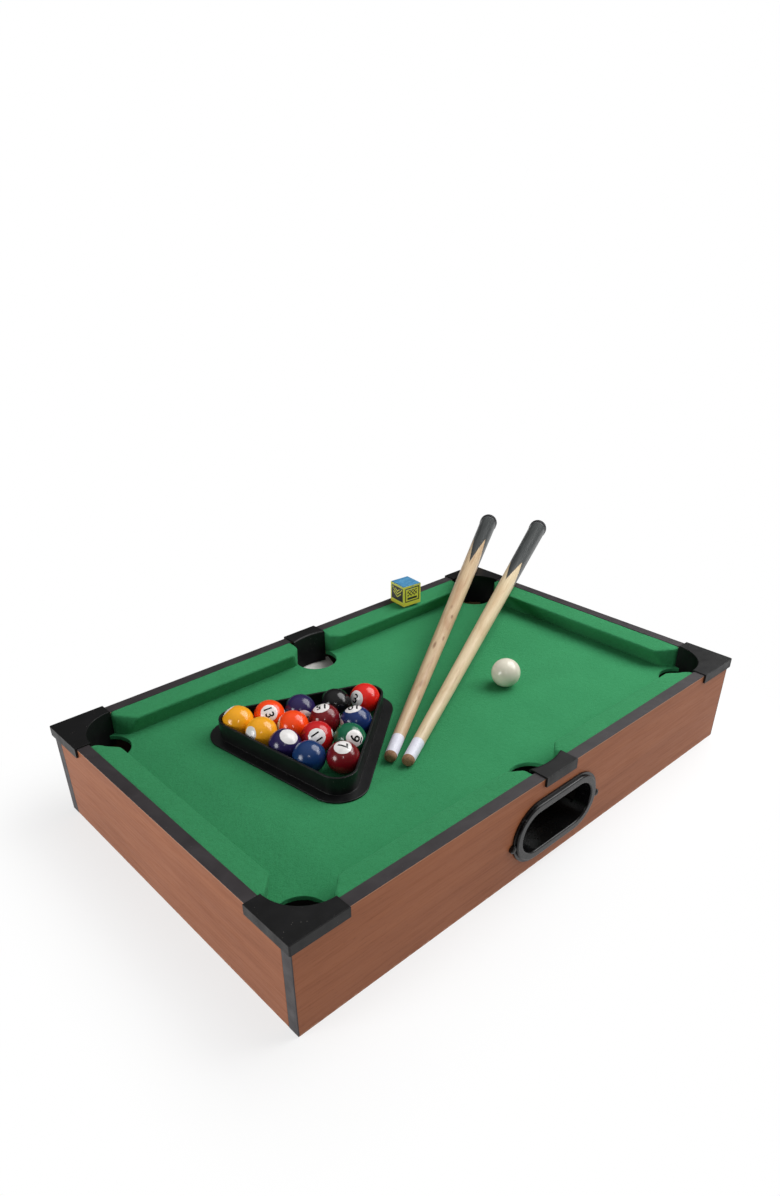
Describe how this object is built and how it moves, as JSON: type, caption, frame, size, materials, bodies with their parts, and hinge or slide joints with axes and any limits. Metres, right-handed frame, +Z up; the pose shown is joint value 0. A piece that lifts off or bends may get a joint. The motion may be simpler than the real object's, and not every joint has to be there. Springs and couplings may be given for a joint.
{
  "type": "mini pool table",
  "caption": "Tabletop pool table with a box frame, felted bed and cushions, six pockets, inner ball ramps and a front return, with balls, rack, cues and chalk.",
  "frame": {"origin": "centre of the table's flat underside", "axes": "+X along the table's length, +Y towards the long side opposite the ball return, +Z up"},
  "size_m": [0.6362, 0.387, 0.1132],
  "materials": {
    "laminate": "reddish brown wood-grain foil, satin",
    "band": "charcoal edge band, satin",
    "board": "raw fibre board",
    "card": "white-faced hardboard",
    "baize": "green felt, matt",
    "core": "sawn pine",
    "cap": "moulded black plastic, satin",
    "cup": "moulded black plastic, glossy",
    "screw": "black oxide",
    "rack": "moulded black plastic, semi-gloss",
    "shaft": "turned pine under clear lacquer, painted butt",
    "ferrule": "white plastic",
    "leather": "brown cue leather",
    "bumper": "black rubber",
    "chalk": "pressed blue chalk, powdery",
    "label": "printed paper",
    "cue_ball": "ivory resin, polished",
    "yellow_ball": "polished resin",
    "orange_stripe_ball": "polished resin",
    "purple_ball": "polished resin",
    "black_ball": "polished resin",
    "red_ball": "polished resin",
    "yellow_stripe_ball": "polished resin",
    "orange_ball": "polished resin",
    "maroon_stripe_ball": "polished resin",
    "blue_stripe_ball": "polished resin",
    "purple_stripe_ball": "polished resin",
    "red_stripe_ball": "polished resin",
    "green_ball": "polished resin",
    "blue_ball": "polished resin",
    "maroon_ball": "polished resin"
  },
  "bodies": {
    "table": {"front_panel": "laminate", "rear_panel": "laminate", "left_end_panel": "laminate", "right_end_panel": "laminate", "front_top_band": "band", "rear_top_band": "band", "left_top_band": "band", "right_top_band": "band", "corner_bands": "band", "playfield_board": "board", "base_board": "board", "left_ramp": "card", "right_ramp": "card", "centre_ramp": "card", "rear_chute": "card", "playfield_cloth": "baize", "front_left_cushion": "baize", "front_right_cushion": "baize", "rear_right_cushion": "baize", "rear_left_cushion": "baize", "left_end_cushion": "baize", "right_end_cushion": "baize", "cushion_cores": "core", "playfield_battens": "core", "corner_blocks": "core", "front_left_cap": "cap", "front_right_cap": "cap", "rear_right_cap": "cap", "rear_left_cap": "cap", "front_middle_cap": "cap", "rear_middle_cap": "cap", "ball_return_cup": "cup", "ball_return_screws": "screw"},
    "rack": {"rack": "rack"},
    "cue_ball": {"cue_ball": "cue_ball"},
    "left_cue": {"left_cue_tip": "leather", "left_cue_ferrule": "ferrule", "left_cue_shaft": "shaft", "left_cue_bumper": "bumper"},
    "right_cue": {"right_cue_tip": "leather", "right_cue_ferrule": "ferrule", "right_cue_shaft": "shaft", "right_cue_bumper": "bumper"},
    "chalk": {"chalk_block": "chalk", "chalk_label": "label"},
    "yellow_ball": {"yellow_ball": "yellow_ball"},
    "orange_stripe_ball": {"orange_stripe_ball": "orange_stripe_ball"},
    "purple_ball": {"purple_ball": "purple_ball"},
    "black_ball": {"black_ball": "black_ball"},
    "red_ball": {"red_ball": "red_ball"},
    "yellow_stripe_ball": {"yellow_stripe_ball": "yellow_stripe_ball"},
    "orange_ball": {"orange_ball": "orange_ball"},
    "maroon_stripe_ball": {"maroon_stripe_ball": "maroon_stripe_ball"},
    "blue_stripe_ball": {"blue_stripe_ball": "blue_stripe_ball"},
    "purple_stripe_ball": {"purple_stripe_ball": "purple_stripe_ball"},
    "red_stripe_ball": {"red_stripe_ball": "red_stripe_ball"},
    "green_ball": {"green_ball": "green_ball"},
    "blue_ball": {"blue_ball": "blue_ball"},
    "maroon_ball": {"maroon_ball": "maroon_ball"}
  },
  "joints": [
    {"name": "rack_lift", "type": "slide", "parent": "table", "child": "rack", "axis": [0, 0, 1], "range_m": [0, 0.06]},
    {"name": "cue_ball_roll", "type": "slide", "parent": "table", "child": "cue_ball", "axis": [1, 0, 0], "range_m": [-0.035, 0.1]},
    {"name": "left_cue_lift", "type": "slide", "parent": "table", "child": "left_cue", "axis": [0, 0, 1], "range_m": [0, 0.06]},
    {"name": "right_cue_lift", "type": "slide", "parent": "table", "child": "right_cue", "axis": [0, 0, 1], "range_m": [0, 0.06]},
    {"name": "chalk_lift", "type": "slide", "parent": "table", "child": "chalk", "axis": [0, 0, 1], "range_m": [0, 0.06]},
    {"name": "yellow_ball_lift", "type": "slide", "parent": "table", "child": "yellow_ball", "axis": [0, 0, 1], "range_m": [0, 0.06]},
    {"name": "orange_stripe_ball_lift", "type": "slide", "parent": "table", "child": "orange_stripe_ball", "axis": [0, 0, 1], "range_m": [0, 0.06]},
    {"name": "purple_ball_lift", "type": "slide", "parent": "table", "child": "purple_ball", "axis": [0, 0, 1], "range_m": [0, 0.06]},
    {"name": "black_ball_lift", "type": "slide", "parent": "table", "child": "black_ball", "axis": [0, 0, 1], "range_m": [0, 0.06]},
    {"name": "red_ball_lift", "type": "slide", "parent": "table", "child": "red_ball", "axis": [0, 0, 1], "range_m": [0, 0.06]},
    {"name": "yellow_stripe_ball_lift", "type": "slide", "parent": "table", "child": "yellow_stripe_ball", "axis": [0, 0, 1], "range_m": [0, 0.06]},
    {"name": "orange_ball_lift", "type": "slide", "parent": "table", "child": "orange_ball", "axis": [0, 0, 1], "range_m": [0, 0.06]},
    {"name": "maroon_stripe_ball_lift", "type": "slide", "parent": "table", "child": "maroon_stripe_ball", "axis": [0, 0, 1], "range_m": [0, 0.06]},
    {"name": "blue_stripe_ball_lift", "type": "slide", "parent": "table", "child": "blue_stripe_ball", "axis": [0, 0, 1], "range_m": [0, 0.06]},
    {"name": "purple_stripe_ball_lift", "type": "slide", "parent": "table", "child": "purple_stripe_ball", "axis": [0, 0, 1], "range_m": [0, 0.06]},
    {"name": "red_stripe_ball_lift", "type": "slide", "parent": "table", "child": "red_stripe_ball", "axis": [0, 0, 1], "range_m": [0, 0.06]},
    {"name": "green_ball_lift", "type": "slide", "parent": "table", "child": "green_ball", "axis": [0, 0, 1], "range_m": [0, 0.06]},
    {"name": "blue_ball_lift", "type": "slide", "parent": "table", "child": "blue_ball", "axis": [0, 0, 1], "range_m": [0, 0.06]},
    {"name": "maroon_ball_lift", "type": "slide", "parent": "table", "child": "maroon_ball", "axis": [0, 0, 1], "range_m": [0, 0.06]}
  ]
}
